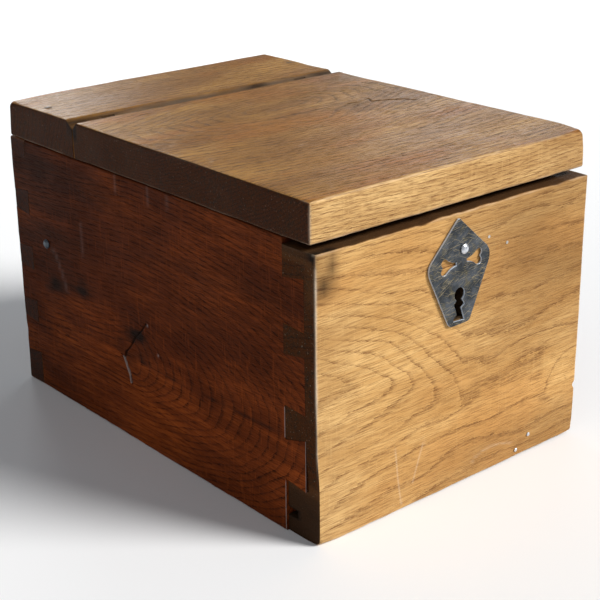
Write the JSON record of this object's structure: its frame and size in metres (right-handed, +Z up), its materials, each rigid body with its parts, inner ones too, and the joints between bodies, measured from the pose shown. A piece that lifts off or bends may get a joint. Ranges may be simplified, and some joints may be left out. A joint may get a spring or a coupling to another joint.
{
  "type": "hinged oak donation box",
  "caption": "Oblong oak strongbox with dovetailed corners, fixed rear strip, hinged lid, pierced iron keyhole plate and chest lock.",
  "frame": {"origin": "middle of the box's footprint, on the surface that it stands on", "axes": "+X to the right seen from the front, +Y from the keyhole front to the back, +Z up"},
  "size_m": [0.2179, 0.3106, 0.198],
  "materials": {
    "oak_front": "worn waxed oak, golden, horizontal grain",
    "oak_side": "worn waxed oak, dark red-brown, horizontal grain",
    "oak_top": "satin waxed oak, medium brown, grain along the width",
    "oak_back": "waxed oak, dark brown",
    "oak_bottom": "raw oak, dry",
    "black_iron": "blackened sheet iron, filed edges, scratched",
    "lock_iron": "old hand-worked iron",
    "bolt_iron": "iron, rubbed bright where it slides",
    "nail_iron": "dark wrought nail iron",
    "bright_steel": "rubbed bright steel nail head"
  },
  "bodies": {
    "box": {"front_board": "oak_front", "back_board": "oak_back", "left_side": "oak_side", "right_side": "oak_side", "bottom_board": "oak_bottom", "rear_strip": "oak_top", "strip_nail_1": "nail_iron", "strip_nail_2": "nail_iron", "side_nail": "bright_steel", "hinge_left_strip_eye": "lock_iron", "hinge_right_strip_eye": "lock_iron", "escutcheon": "black_iron", "escutcheon_nail": "bright_steel", "front_brad_1": "bright_steel", "front_brad_2": "bright_steel", "lock_plate": "lock_iron", "lock_case": "lock_iron", "lock_nail_1": "nail_iron", "lock_nail_2": "nail_iron", "lock_nail_3": "nail_iron", "lock_nail_4": "nail_iron", "lock_plate_nail": "nail_iron", "key_pin": "lock_iron", "spring_stud": "lock_iron", "key_ward": "lock_iron", "bolt_guide_left": "lock_iron", "bolt_guide_right": "lock_iron", "bolt_spring": "bolt_iron"},
    "lid": {"lid_board": "oak_top", "hinge_left_lid_eye": "lock_iron", "hinge_right_lid_eye": "lock_iron", "staple_plate": "lock_iron", "lid_staple": "lock_iron", "staple_nail_1": "nail_iron", "staple_nail_2": "nail_iron"},
    "bolt": {"lock_bolt": "bolt_iron"}
  },
  "joints": [
    {"name": "lid_hinge", "type": "hinge", "parent": "box", "child": "lid", "pos_m": [0, 0.0735, 0.193], "axis": [-1, 0, 0], "range_deg": [0, 95]},
    {"name": "bolt_slide", "type": "slide", "parent": "box", "child": "bolt", "axis": [1, 0, 0], "range_m": [0, 0.009]}
  ]
}
